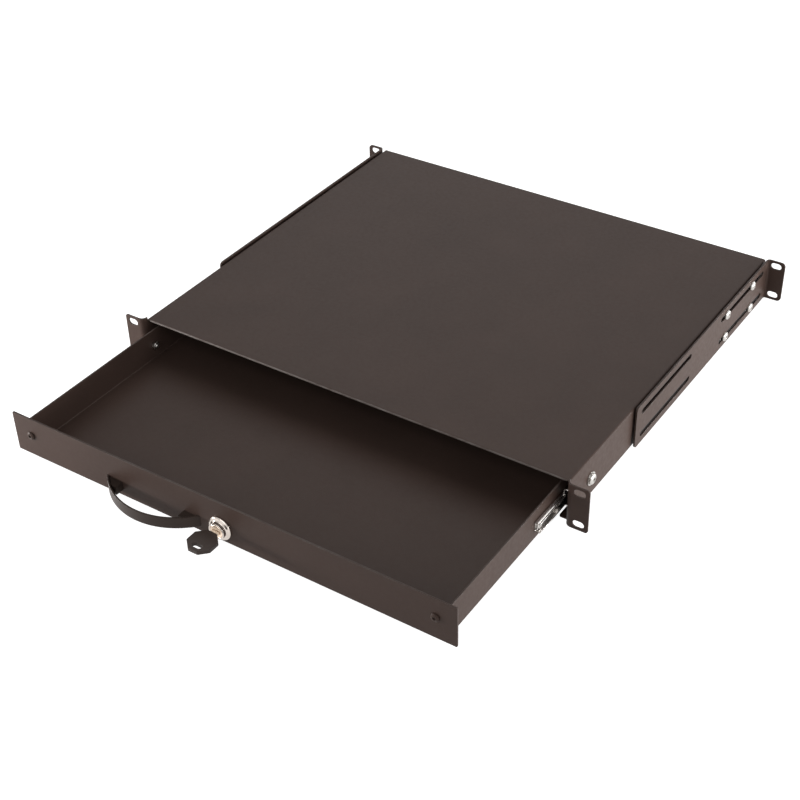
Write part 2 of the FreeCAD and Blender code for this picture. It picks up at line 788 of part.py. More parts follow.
def slide_outer(side, word):
    """The channel on the case wall; its lips curl round the balls."""
    body = piece(f"slide_outer_{word}")
    upper, lower = slide_section(side, [
        ("seat", "rail_half", "rail_sheet"), ("rail_reach", "rail_half", "race + rail_sheet"),
        ("rail_reach", "lip_end"), ("rail_reach - rail_sheet", "lip_end"),
        ("rail_reach - rail_sheet", "(rail_half - rail_sheet)", "race"),
        ("seat + rail_sheet", "(rail_half - rail_sheet)"),
    ])
    extrude(body, "XZ", "rail_front", "rail_back - rail_front", outline(upper + lower))
    ends = ("rail_front + rail_screw", "rail_back - rail_rivet")
    holes = [disc(y, "slide_z", "bolt_thread") for y in ends]
    level = "-case_in" if side < 0 else "tray_half"
    carve(body, "YZ", level, "slide_gap", *holes)


def runner_holes(radius):
    spots = ("runner_rivet + runner_pitch", "runner_back - runner_screw")
    return [disc(spot, "slide_z", radius) for spot in spots]


def slide_inner(side, word):
    """The runner on the tray wall, with a ball groove along its upper and lower flange."""
    body = piece(f"slide_inner_{word}")
    outer = "slide_gap - seat"

    def groove(sign):
        return (across(side, "ball_u"), f"slide_z + ({sign}) * ball_w")

    points = [
        (outer, "runner_half", "rail_sheet"), ("ball_u + groove_half", "runner_half", None, groove(1)),
        ("ball_u - groove_half", "runner_half"), ("runner_edge", "runner_half"),
        ("runner_edge", "runner_in"), ("runner_web", "runner_in"),
    ]
    upper, lower = slide_section(side, points)
    lower[3] = (*lower[3][:2], None, groove(-1))
    lower[4] = lower[4][:2]
    extrude(body, "XZ", "runner_front", "runner_back - runner_front", outline(upper + lower))
    level = "-case_in" if side < 0 else "tray_half"
    rivet = disc("runner_rivet", "slide_z", "bolt_thread")
    carve(body, "YZ", level, "slide_gap", rivet, *runner_holes("bolt_hole"))


def ball_cage(side, word):
    """The retainer between the members; each ball snaps into a notch in its arms."""
    body = piece(f"ball_cage_{word}")
    arm = "ball_u + cage_grip"
    upper, lower = slide_section(side, [
        ("cage_offset", "cage_half", "cage_sheet"), (arm, "cage_half"), (arm, "(cage_half - cage_sheet)"),
        ("cage_offset + cage_sheet", "(cage_half - cage_sheet)"),
    ])
    extrude(body, "XZ", "cage_front", "cage_back - cage_front", outline(upper + lower))
    first, gaps = "cage_front + ball_margin", BALLS_IN_ROW - 1
    spots = [f"{first} + {k} / {gaps} * ball_row" for k in range(BALLS_IN_ROW)]
    notches = [disc(across(side, "ball_u"), spot, "ball_radius + cage_clear") for spot in spots]
    carve(body, "XY", "slide_z - rail_half", "rail_height", *notches)

    body = piece(f"slide_balls_{word}")
    middle = across(side, "ball_u")
    place = ("0", first, "slide_z - ball_w")
    shape = turn(body, "X", place, [
        (f"{middle} - ball_radius", "0", None, (middle, "0")), (middle, "ball_radius", None, (middle, "0")),
        (f"{middle} + ball_radius", "0"),
    ])
    repeat(body, shape, ("Y", "ball_row", BALLS_IN_ROW), ("Z", "2 * ball_w", 2))


def slide_fasteners():
    flush, wall = "case_in - rail_sheet", "case_half + seat"
    place = ("0", "rail_front + rail_screw", "slide_z")
    face = f"{wall} + washer_thick"
    screw("slide_outer_screws", "X", place, flush, f"{face} + seat",
          "bolt_radius", "rail_head", 1, "mirror")
    body = piece("slide_outer_washers")
    shape = turn(body, "X", place, [
        (wall, "bolt_hole"), (wall, "washer_radius"), (face, "washer_radius"), (face, "bolt_hole"),
    ])
    repeat(body, shape, "mirror")
    place = ("0", "rail_back - rail_rivet", "slide_z")
    screw("slide_rear_rivets", "X", place, flush, wall, "bolt_radius", "rivet_head", 1, "mirror")

    inside = "tray_in - seat - bolt_nut_thick"
    steps = (("Y", "runner_span", 2), "mirror")
    y = "runner_rivet + runner_pitch"
    web = "tray_half + rail_sheet + 2 * seat"
    screw("slide_end_rivets", "X", ("0", "runner_rivet", "slide_z"), "tray_half + 2 * seat", web,
          "bolt_radius", "pan_head", 1, "mirror")
    screw("slide_inner_screws", "X", ("0", y, "slide_z"), f"{inside} - bolt_end", web,
          "bolt_radius", "pan_head", 1, *steps)
    nut("slide_inner_nuts", "YZ", inside, "bolt_nut_thick", "bolt_nut_flats", "bolt_thread",
        y, "slide_z", *steps)


# Rear brackets

def rear_bracket(side, word):
    body = piece(f"rear_bracket_{word}")
    plan = [
        (sided(side, "bracket_in"), "bracket_front"),
        (sided(side, "bracket_in"), "bracket_back", "bracket_bend + bracket_thick"),
        (sided(side, "rack_half"), "bracket_back"),
        (sided(side, "rack_half"), "bracket_back - bracket_thick"),
        (sided(side, "bracket_out"), "bracket_back - bracket_thick", "bracket_bend"),
        (sided(side, "bracket_out"), "bracket_front"),
    ]
    extrude(body, "XY", "-bracket_z", "bracket_height", outline(plan))
    tips = ({"y": "bracket_front"}, {"x": sided(side, "rack_half")})
    ends = [{"z": f"{b}bracket_z", **tip} for b in ("", "-") for tip in tips]
    round_edges(body, "bracket_corner", *ends)
    slots = [oblong(y, f"{b}bracket_slot_z / 2", "bracket_slot_length", "bracket_slot_width")
             for y in ("front_slot", "rear_slot") for b in ("", "-")]
    carve(body, "YZ", sided(side, "bracket_in") + " - 3", "6", *slots)
    ear_x = sided(side, "rack_slot_x / 2")
    ear_slots = [oblong(ear_x, f"{b}rack_slot_z / 2", "slot_length", "slot_width") for b in ("", "-")]
    carve(body, "XZ", "bracket_back - 2 * bracket_thick", "3 * bracket_thick", *ear_slots)


def bracket_fasteners():
    steps = (("Y", "bracket_pitch", 2), ("Z", "bracket_slot_z", 2), "mirror")
    place = ("0", "bracket_screw", "-bracket_slot_z / 2")
    body = piece("bracket_standoffs")
    bore = "bracket_bolt + seat"
    shape = turn(body, "X", place, [
        ("case_in", bore), ("case_in", "standoff_radius"),
        ("bracket_in - seat", "standoff_radius"), ("bracket_in - seat", bore),
    ])
    repeat(body, shape, *steps)
    screw("bracket_screws", "X", place, "case_in", "bracket_out + seat",
          "bracket_bolt", "bracket_head", 1, *steps)


case_shell()
lock_strike()
drawer_tray()
front_panel()
panel_fasteners()
pull_handle()
lock()
key()
both_sides(slide_outer)
both_sides(slide_inner)
both_sides(ball_cage)
slide_fasteners()
both_sides(rear_bracket)
bracket_fasteners()
DOC.recompute()

os.makedirs("parts", exist_ok=True)
for item in DOC.Objects:
    if {"Invalid", "Error"} & set(item.State):
        raise RuntimeError(f"{item.Name} does not compute")
for body in BODIES:
    if body.Shape.isNull() or not body.Shape.isValid() or not body.Shape.Solids:
        raise RuntimeError(f"{body.Label} has no valid solid")
    body.Shape.exportStep(f"parts/{body.Label}.step")
    print(body.Label, len(body.Shape.Solids), round(body.Shape.Volume, 1))
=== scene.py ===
"""Looks of a rack keyboard drawer: powder-coated sheet, zinc slides, a bow handle and a key lock."""
import json
import math

import bmesh
import bpy
from mathutils import Matrix, Vector


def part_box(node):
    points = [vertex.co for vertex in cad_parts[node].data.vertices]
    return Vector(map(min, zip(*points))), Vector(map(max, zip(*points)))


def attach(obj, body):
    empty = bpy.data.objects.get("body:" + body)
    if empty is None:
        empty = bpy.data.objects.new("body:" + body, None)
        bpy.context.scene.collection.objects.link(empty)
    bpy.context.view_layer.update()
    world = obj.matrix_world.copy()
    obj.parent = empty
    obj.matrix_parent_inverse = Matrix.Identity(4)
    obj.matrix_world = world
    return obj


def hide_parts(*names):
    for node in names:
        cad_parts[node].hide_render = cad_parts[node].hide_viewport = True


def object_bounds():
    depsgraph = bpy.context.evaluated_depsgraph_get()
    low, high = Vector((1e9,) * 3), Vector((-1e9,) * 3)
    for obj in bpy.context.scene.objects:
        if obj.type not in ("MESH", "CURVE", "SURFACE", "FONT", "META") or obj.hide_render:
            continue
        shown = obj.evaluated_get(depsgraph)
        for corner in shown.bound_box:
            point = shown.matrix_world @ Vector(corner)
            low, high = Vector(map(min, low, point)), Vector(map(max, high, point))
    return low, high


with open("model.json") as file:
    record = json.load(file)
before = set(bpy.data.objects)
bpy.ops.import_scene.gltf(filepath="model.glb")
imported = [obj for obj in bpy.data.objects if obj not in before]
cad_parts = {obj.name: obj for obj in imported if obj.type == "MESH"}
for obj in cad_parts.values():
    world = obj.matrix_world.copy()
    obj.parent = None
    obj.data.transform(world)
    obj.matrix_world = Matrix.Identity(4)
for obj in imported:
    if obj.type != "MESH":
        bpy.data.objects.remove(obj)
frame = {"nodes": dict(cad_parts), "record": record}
cad_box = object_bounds()
NODES = frame["nodes"]
MM = 0.001
TURN = 2 * math.pi
SIXTH = TURN / 6
X, Y, Z = range(3)

# Points closer than this are taken to be in the same place
CLOSE = 1e-5
# Points beyond this share of a radius are taken to be on the rim
RIM_SHARE = 0.98


# Shader helpers

def new_material(name):
    made = bpy.data.materials.new(name)
    made.use_nodes = True
    return made, made.node_tree, made.node_tree.nodes["Principled BSDF"]


def node(tree, kind, inputs=None, **settings):
    """A new node with its settings, and its inputs set to values or linked to sockets."""
    made = tree.nodes.new(kind)
    for name, value in settings.items():
        setattr(made, name, value)
    for name, value in (inputs or {}).items():
        if isinstance(value, bpy.types.NodeSocket):
            tree.links.new(value, made.inputs[name])
        else:
            made.inputs[name].default_value = value
    return made


def noise(tree, size, detail=2.0, stretch=(1, 1, 1)):
    """Noise with features of about the given size in metres, drawn out where stretch is over 1."""
    place = node(tree, "ShaderNodeTexCoord").outputs["Object"]
    scale = tuple(1 / value for value in stretch)
    mapped = node(tree, "ShaderNodeMapping", {"Vector": place, "Scale": scale}).outputs["Vector"]
    inputs = {"Vector": mapped, "Scale": 1 / size, "Detail": detail}
    return node(tree, "ShaderNodeTexNoise", inputs).outputs["Fac"]


def spread(tree, value, low, high, start=0.3, end=0.7):
    """The value's range from start to end, spread over low to high. Noise mostly fills 0.3 to 0.7."""
    inputs = {"Value": value, "From Min": start, "From Max": end, "To Min": low, "To Max": high}
    return node(tree, "ShaderNodeMapRange", inputs).outputs["Result"]


def mixed(tree, factor, first, second):
    """A mix of two colours, each a socket or a tuple."""
    made = node(tree, "ShaderNodeMix", data_type="RGBA")
    tree.links.new(factor, made.inputs["Factor"])
    colour_a, colour_b, colour_out = 6, 7, 2
    for index, value in ((colour_a, first), (colour_b, second)):
        if isinstance(value, bpy.types.NodeSocket):
            tree.links.new(value, made.inputs[index])
        else:
            made.inputs[index].default_value = (*value, 1)
    return made.outputs[colour_out]


def combined(tree, operation, first, second):
    made = node(tree, "ShaderNodeMath", operation=operation)
    tree.links.new(first, made.inputs[0])
    tree.links.new(second, made.inputs[1])
    return made.outputs["Value"]


def multiplied(tree, first, second):
    return combined(tree, "MULTIPLY", first, second)


def relief(tree, height, depth, strength, normal):
    inputs = {"Height": height, "Distance": depth, "Strength": strength, "Normal": normal}
    return node(tree, "ShaderNodeBump", inputs).outputs["Normal"]


def edges(tree, radius):
    """A mask that is 1 along sharp edges and 0 on open faces, and the softened normal."""
    soft = node(tree, "ShaderNodeBevel", {"Radius": radius}, samples=4).outputs["Normal"]
    flat = node(tree, "ShaderNodeNewGeometry").outputs["Normal"]
    made = node(tree, "ShaderNodeVectorMath", operation="DOT_PRODUCT")
    tree.links.new(soft, made.inputs[0])
    tree.links.new(flat, made.inputs[1])
    return spread(tree, made.outputs["Value"], low=1.0, high=0.0, start=0.75, end=0.995), soft


def painted_rim_highlight(tree, patches, strength, half_width, fade, depth, height):
    """How strongly a painted highlight lies along an upper front edge, in patches, fading out past half its
    width.
    """
    soft_edge = 0.4 * MM
    place = node(tree, "ShaderNodeTexCoord").outputs["Object"]
    parts = node(tree, "ShaderNodeSeparateXYZ", {"Vector": place}).outputs
    side = node(tree, "ShaderNodeMath", operation="ABSOLUTE")
    tree.links.new(parts["X"], side.inputs[0])
    within = spread(tree, side.outputs["Value"], low=1, high=0, start=half_width, end=half_width + fade)
    near = spread(tree, parts["Y"], low=1, high=0, start=depth - soft_edge, end=depth)
    above = spread(tree, parts["Z"], low=0, high=1, start=height, end=height + soft_edge)
    rim = multiplied(tree, multiplied(tree, within, near), above)
    return spread(tree, multiplied(tree, rim, patches), low=0, high=strength, start=0, end=1)


def background_rays(tree):
    """1 for the rays that show the background: the camera's, and those by way of glass or metal."""
    path = node(tree, "ShaderNodeLightPath").outputs
    clear = combined(tree, "MAXIMUM", path["Is Camera Ray"], path["Is Transmission Ray"])
    return combined(tree, "MAXIMUM", clear, path["Is Glossy Ray"])


def tinted(colour, factor):
    return tuple(value * factor for value in colour)


# Finishes

def powder_coat(name, colour, wear_and_highlight, rim=None):
    """Baked powder coat: a fine orange peel, faint mottling, and edges lighter where the coat is thin and
    where a highlight is painted on them.
    """
    roughness, edge_roughness, gloss = 0.46, 0.30, 0.11
    made, tree, shader = new_material(name)
    mottle = spread(tree, noise(tree, size=0.06, detail=3.0), low=0.0, high=1.0)
    base = mixed(tree, mottle, tinted(colour, 0.93), tinted(colour, 1.07))
    grains = noise(tree, size=0.0007, detail=1.0)
    fleck = spread(tree, grains, low=0.0, high=0.5, start=0.62, end=0.78)
    base = mixed(tree, fleck, base, tinted(colour, 1.5))
    edge, soft = edges(tree, radius=0.8 * MM)
    patches = spread(tree, noise(tree, size=0.009, detail=4.0), low=0.35, high=1.0)
    # Sharp edges take the lighter colour in patches: partly wear of the coat, partly a painted highlight
    base = mixed(tree, multiplied(tree, edge, patches), base, wear_and_highlight)
    # A painted highlight along the upper front edge, in the lighter edge colour, where a rim is given
    if rim:
        base = mixed(tree, painted_rim_highlight(tree, patches, **rim), base, wear_and_highlight)
    tree.links.new(base, shader.inputs["Base Color"])
    sheen = noise(tree, size=0.004, detail=3.0)
    open_roughness = spread(tree, sheen, low=roughness - 0.05, high=roughness + 0.05)
    rough = node(tree, "ShaderNodeMix", {"Factor": edge, "A": open_roughness, "B": edge_roughness})
    tree.links.new(rough.outputs["Result"], shader.inputs["Roughness"])
    peel = relief(tree, noise(tree, size=0.0011), depth=0.12 * MM, strength=0.22, normal=soft)
    tree.links.new(peel, shader.inputs["Normal"])
    shader.inputs["Specular IOR Level"].default_value = gloss
    return made


def plated(name, colour, roughness, stretch=(1, 1, 1), grain=0.0008, depth=0.03 * MM):
    """Plated or bare metal with rolling or turning marks and slight clouding."""
    made, tree, shader = new_material(name)
    cloud = spread(tree, noise(tree, size=0.012, detail=3.0), low=0.0, high=1.0)
    base = mixed(tree, cloud, tinted(colour, 0.88), tinted(colour, 1.06))
    marks = noise(tree, grain, detail=3.0, stretch=stretch)
    edge, soft = edges(tree, radius=0.25 * MM)
    # Sharp edges turn lighter: a painted highlight
    base = mixed(tree, multiplied(tree, edge, cloud), base, tinted(colour, 1.15))
    tree.links.new(base, shader.inputs["Base Color"])
    rough = spread(tree, marks, low=roughness * 0.75, high=roughness * 1.35)
    tree.links.new(rough, shader.inputs["Roughness"])
    scratches = relief(tree, marks, depth, strength=0.25, normal=soft)
    tree.links.new(scratches, shader.inputs["Normal"])
    shader.inputs["Metallic"].default_value = 1.0
    return made


def moulded(name, colour, roughness, grain, gloss):
    """Moulded or enamelled black with a fine satin grain, and edges lighter where rubbed and where a
    highlight is painted on them.
    """
    made, tree, shader = new_material(name)
    cloud = spread(tree, noise(tree, size=0.02, detail=3.0), low=0.0, high=1.0)
    base = mixed(tree, cloud, tinted(colour, 0.88), tinted(colour, 1.12))
    edge, soft = edges(tree, radius=0.5 * MM)
    patches = spread(tree, noise(tree, size=0.005, detail=3.0), low=0.1, high=0.7)
    # Sharp edges turn lighter in patches: partly rubbed, partly a painted highlight
    base = mixed(tree, multiplied(tree, edge, patches), base, tinted(colour, 2.2))
    tree.links.new(base, shader.inputs["Base Color"])
    rough = spread(tree, cloud, low=roughness - 0.06, high=roughness + 0.06, start=0, end=1)
    tree.links.new(rough, shader.inputs["Roughness"])
    satin = relief(tree, noise(tree, grain), depth=0.06 * MM, strength=0.2, normal=soft)
    tree.links.new(satin, shader.inputs["Normal"])
    shader.inputs["Specular IOR Level"].default_value = gloss
    return made


COAT = (0.054, 0.0345, 0.028)
# Lighter coat colours for edges: partly wear, partly a painted highlight
WEAR_AND_HIGHLIGHT = (0.16, 0.14, 0.13)
SCREW_WEAR_AND_HIGHLIGHT = (0.11, 0.09, 0.08)
panel_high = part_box("front_panel")[1]
# Where the painted highlight lies: along the upper front edge of the case, and along the top edge of the
# panel
CASE_RIM_HIGHLIGHT = dict(strength=1.0, half_width=0.217, fade=MM, depth=0.0068, height=0.0168)
PANEL_RIM_HIGHLIGHT = dict(strength=0.32, half_width=0.10, fade=0.10,
                 depth=panel_high[1] + 0.4 * MM, height=panel_high[2] - 0.7 * MM)
FINISHES = {
    "case_coat": powder_coat("case_coat", COAT, WEAR_AND_HIGHLIGHT, CASE_RIM_HIGHLIGHT),
    "drawer_coat": powder_coat("drawer_coat", COAT, WEAR_AND_HIGHLIGHT, PANEL_RIM_HIGHLIGHT),
    "bracket_coat": powder_coat("bracket_coat", COAT, WEAR_AND_HIGHLIGHT),
    "slide_steel": plated("slide_steel", (0.66, 0.635, 0.615), roughness=0.20,
                          stretch=(1, 40, 1), grain=0.0006, depth=0.004 * MM),
    "fastener_zinc": plated("fastener_zinc", (0.52, 0.50, 0.475), roughness=0.26, depth=0.012 * MM),
    "fastener_black": powder_coat("fastener_black", COAT, SCREW_WEAR_AND_HIGHLIGHT),
    "ball_steel": plated("ball_steel", (0.76, 0.76, 0.78), roughness=0.07, depth=0.005 * MM),
    "lock_chrome": plated("lock_chrome", (0.60, 0.535, 0.485), roughness=0.13, depth=0.003 * MM),
    "plug_brass": plated("plug_brass", (0.88, 0.71, 0.57), roughness=0.30,
                         stretch=(1, 0.2, 1), grain=0.0012),
    "key_steel": plated("key_steel", (0.66, 0.63, 0.58), roughness=0.24, stretch=(1, 20, 1)),
    "key_black": moulded("key_black", (0.041, 0.028, 0.0225), roughness=0.48, grain=0.0006, gloss=0.22),
    "handle_black": moulded("handle_black", (0.039, 0.027, 0.022), roughness=0.42, grain=0.0009, gloss=0.15),
}


# Mesh helpers

def solids_of(name):
    """The separate solids of a CAD node, each as a list of its points."""
    shape = bmesh.new()
    shape.from_mesh(NODES[name].data)
    bmesh.ops.remove_doubles(shape, verts=shape.verts, dist=1e-6)
    found, seen = [], set()
    for start in shape.verts:
        if start in seen:
            continue
        points, waiting = [], [start]
        seen.add(start)
        while waiting:
            vertex = waiting.pop()
            points.append(vertex.co.copy())
            for edge in vertex.link_edges:
                other = edge.other_vert(vertex)
                if other not in seen:
                    seen.add(other)
                    waiting.append(other)
        found.append(points)
    shape.free()
    return found


def span(points):
    """The lowest and highest value of the points along each axis."""
    return [(min(p[k] for p in points), max(p[k] for p in points)) for k in (X, Y, Z)]


class Turned:
    """A turned solid of the CAD, measured along its axis; its head faces sign, or its own side with 0."""

    def __init__(self, points, axis, sign):
        spans = span(points)
        middle = Vector((low + high) / 2 for low, high in spans)
        sign = sign or math.copysign(1, middle[axis])
        self.outward = Vector((0, 0, 0))
        self.outward[axis] = sign
        across = [k for k in (X, Y, Z) if k != axis]
        reach = [(sign * p[axis], math.hypot(*(p[k] - middle[k] for k in across))) for p in points]
        self.radius = max(radius for _, radius in reach)
        self.tip = min(along for along, _ in reach)
        self.crown = max(along for along, _ in reach)
        self.face = min(along for along, radius in reach if radius > RIM_SHARE * self.radius)
        self.shank = max((radius for along, radius in reach if along < self.face - CLOSE), default=0)
        self.place = middle.copy()
        self.place[axis] = sign * self.face

    def frame(self):
        """Local Z points outward from the underside of the head."""
        turned = self.outward.to_track_quat("Z", "Y").to_matrix().to_4x4()
        return Matrix.Translation(self.place) @ turned


def mesh_of(shape, name):
    """The finished mesh of a shape, with its faces turned outward."""
    bmesh.ops.recalc_face_normals(shape, faces=shape.faces)
    mesh = bpy.data.meshes.new(name)
    shape.to_mesh(mesh)
    shape.free()
    return mesh


def revolve(rows, steps=48, closed=False):
    """A surface of rows (height, radius); a radius may be a function of the angle."""
    shape = bmesh.new()
    rings = []
    for height, radius in rows:
        if radius == 0:
            rings.append([shape.verts.new((0, 0, height))])
            continue
        ring = []
        for step in range(steps):
            angle = TURN * step / steps
            reach = radius(angle) if callable(radius) else radius
            ring.append(shape.verts.new((reach * math.cos(angle), reach * math.sin(angle), height)))
        rings.append(ring)
    pairs = list(zip(rings, rings[1:]))
    if closed:
        pairs.append((rings[-1], rings[0]))
    for lower, upper in pairs:
        for step in range(steps):
            ahead = (step + 1) % steps
            corners = [lower[step % len(lower)], lower[ahead % len(lower)],
                       upper[ahead % len(upper)], upper[step % len(upper)]]
            corners = list(dict.fromkeys(corners))
            if len(corners) > 2:
                shape.faces.new(corners)
    return mesh_of(shape, "turned")


def thread_rows(low, high, radius, pitch=0.7 * MM):
    """Rows of a helical thread between two heights, cut to a depth below the radius."""
    rows_per_turn = 6
    depth = 0.5 * pitch
    count = max(2, round(rows_per_turn * (high - low) / pitch))

    def reach(height):
        def at(angle):
            part = (height / pitch - angle / TURN) % 1
            return radius - depth * abs(2 * part - 1)
        return at

    heights = [low + (high - low) * k / count for k in range(count + 1)]
    return [(height, reach(height)) for height in heights]


def prism(outline, low, high, taper=1.0):
    """A closed solid from an outline at the high level to its tapered copy at the low one."""
    shape = bmesh.new()
    lower = [shape.verts.new((x * taper, y * taper, low)) for x, y in outline]
    upper = [shape.verts.new((x, y, high)) for x, y in outline]
    shape.faces.new(lower[::-1])
    shape.faces.new(upper)
    for k in range(len(outline)):
        ahead = (k + 1) % len(outline)
        shape.faces.new((lower[k], lower[ahead], upper[ahead], upper[k]))
    return mesh_of(shape, "prism")


def cut(mesh, cutter, operation="DIFFERENCE"):
    """The mesh with the cutter's volume taken out, or joined to it."""
    body, tool = (bpy.data.objects.new("shaping", data) for data in (mesh, cutter))
    for item in (body, tool):
        bpy.context.scene.collection.objects.link(item)
    step = body.modifiers.new("Cut", "BOOLEAN")
    step.operation = operation
    step.solver = "EXACT"
    step.object = tool
    bpy.context.view_layer.update()
    shaped = bpy.data.meshes.new_from_object(body.evaluated_get(bpy.context.evaluated_depsgraph_get()))
    for item in (body, tool):
        bpy.data.objects.remove(item)
    return shaped


def assemble(name, parts, body, finish, replaced):
    """One piece from (mesh, place) pairs, riding on a body in place of a CAD node."""
    sharp_angle = math.radians(32)
    shape = bmesh.new()
    for mesh, place in parts:
        copy = mesh.copy()
        copy.transform(place)
        shape.from_mesh(copy)
        bpy.data.meshes.remove(copy)
    mesh = bpy.data.meshes.new(name)
    shape.to_mesh(mesh)
    shape.free()
    for face in mesh.polygons:
        face.use_smooth = True
    mesh.set_sharp_from_angle(angle=sharp_angle)
    mesh.materials.append(FINISHES[finish])
    piece = bpy.data.objects.new(name, mesh)
    bpy.context.scene.collection.objects.link(piece)
    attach(piece, body)
    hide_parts(replaced)


# Fasteners

def cross_recess(arm, width):
    """Outline of a cross-shaped driver recess."""
    corners = []
    for quarter in range(4):
        turned = Matrix.Rotation(quarter * math.pi / 2, 2)
        for point in ((arm, -width), (arm, width), (width, width)):
            corners.append(tuple(turned @ Vector(point)))
    return corners


def socket_recess(reach):
    """Outline of a hexagon socket."""
    return [(reach * math.cos(k * SIXTH), reach * math.sin(k * SIXTH)) for k in range(6)]


def pan_screw(sizes, flat, socket):
    """A screw with a domed head, a driver recess, and a threaded shank with a chamfered tip."""
    radius, shank = sizes.radius, sizes.shank
    rise = sizes.crown - sizes.face
    length = sizes.face - sizes.tip
    tip = 0.72 * shank
    rows = [(-length, 0), (-length, tip)]
    rows += thread_rows(-length + 0.5 * MM, -0.6 * MM, shank)
    rows += [(-0.3 * MM, shank), (0, shank), (0, 0.96 * radius)]
    edge = 0.28 * rise
    rows += [(0.12 * MM, radius), (edge, radius)]
    dome_steps = 8
    for step in range(1, dome_steps + 1):
        angle = step / dome_steps * math.pi / 2
        reach = flat + (1 - flat) * math.cos(angle)
        rows.append((edge + (rise - edge) * math.sin(angle), radius * reach))
    rows.append((rise, 0))
    recess_floor = rise - 0.62 * rise
    past_head = rise + 0.2 * MM
    if socket:
        cutter = prism(socket_recess(reach=0.40 * radius), recess_floor, past_head)
    else:
        cross = cross_recess(arm=0.52 * radius, width=0.13 * radius)
        cutter = prism(cross, recess_floor, past_head, taper=0.55)
    return cut(revolve(rows), cutter)


def screws(node_name, axis, sign, body, finish, flat=0.35, socket=False):
    """Detailed screws where the CAD node has plain ones, each turned by a different amount."""
    first_turn, next_turn = 0.4, 0.9
    found = [Turned(points, axis, sign) for points in solids_of(node_name)]
    mesh = pan_screw(found[0], flat, socket)
    turns = [Matrix.Rotation(next_turn * k + first_turn, 4, "Z") for k in range(len(found))]
    parts = [(mesh, sizes.frame() @ turn) for sizes, turn in zip(found, turns)]
    assemble(node_name + "_detail", parts, body, finish, node_name)


def hex_nut(flats, thick, bore, pitch):
    """A hexagon nut with chamfered corners and a threaded bore, from height 0 to thick."""
    face_radius, chamfer_slope = 0.475 * flats, 1.8

    def reach(height):
        inset = min(height, thick - height)

        def at(angle):
            sector = (angle + SIXTH / 2) % SIXTH - SIXTH / 2
            corner = flats / 2 / math.cos(SIXTH / 2 - abs(sector))
            return min(corner, face_radius + chamfer_slope * inset)
        return at

    levels = [0, 0.02, 0.05, 0.09, 0.14, 0.2, 0.8, 0.86, 0.91, 0.95, 0.98, 1]
    rows = [(level * thick, reach(level * thick)) for level in levels]
    inner = thread_rows(0.4 * MM, thick - 0.4 * MM, bore + 0.02 * MM, pitch)
    lead = bore + 0.15 * MM
    rows += [(thick, lead), *reversed(inner), (0, lead)]
    return revolve(rows, steps=60, closed=True)


def nuts(node_name, axis, body, finish, bore, pitch=0.7 * MM):
    """Detailed nuts where the CAD node has plain ones; they share the fastener's axis."""
    direction = Vector((0, 0, 0))
    direction[axis] = 1
    turned = direction.to_track_quat("Z", "Y").to_matrix().to_4x4()
    parts, mesh = [], None
    for points in solids_of(node_name):
        spans = span(points)
        low, high = spans[axis]
        if mesh is None:
            mesh = hex_nut(spans[Z][1] - spans[Z][0], high - low, bore, pitch)
        place = Vector((a + b) / 2 for a, b in spans)
        place[axis] = low
        parts.append((mesh, Matrix.Translation(place) @ turned))
    assemble(node_name + "_detail", parts, body, finish, node_name)


def lock_detail():
    """The lock's stepped bezel and threaded barrel, turned from the sizes of its CAD solid."""
    points = solids_of("lock_body")[0]
    (left, right), (front, back), (low, high) = span(points)
    middle_x, middle_z = (left + right) / 2, (low + high) / 2
    near_end = 0.1 * MM
    reach = [(math.hypot(p.x - middle_x, p.z - middle_z), p.y) for p in points]
    radius = (right - left) / 2
    bore = round(min(r for r, _ in reach), 5)
    nose = max(r for r, y in reach if y < front + near_end)
    seat = max(y for r, y in reach if r > RIM_SHARE * radius)
    barrel = max(r for r, y in reach if y > back - near_end)
    rise = seat - front
    # The bezel, from its bore over the nose and down the step to the panel
    rows = [
        (0, bore), (-0.7 * rise, bore), (-0.93 * rise, bore), (-0.97 * rise, bore + 0.25 * MM),
        (-0.985 * rise, bore + 0.5 * MM), (-rise, bore + 0.8 * MM), (-rise, nose - 0.55 * MM),
        (-0.985 * rise, nose - 0.2 * MM), (-0.94 * rise, nose), (-0.58 * rise, nose + 0.15 * MM),
        (-0.50 * rise, nose + 0.30 * MM), (-0.44 * rise, nose + 0.75 * MM), (-0.40 * rise, nose + 1.25 * MM),
        (-0.33 * rise, radius - 0.75 * MM), (-0.28 * rise, radius - 0.25 * MM), (-0.20 * rise, radius),
        (-0.04 * rise, radius), (0, radius - 0.2 * MM), (0, barrel),
    ]
    # The barrel behind the panel, with a thread and a chamfered end
    length = back - seat
    rows += [(0.8 * MM, barrel), (1.2 * MM, barrel - 0.35 * MM)]
    rows += thread_rows(1.4 * MM, length - 0.8 * MM, barrel, pitch=1.0 * MM)
    rows += [(length, barrel - 0.7 * MM), (length, bore)]
    place = Matrix.Translation((middle_x, seat, middle_z)) @ Matrix.Rotation(-math.pi / 2, 4, "X")
    mesh = revolve(rows, steps=72, closed=True)
    assemble("lock_body_detail", [(mesh, place)], "drawer", "lock_chrome", "lock_body")
    return barrel


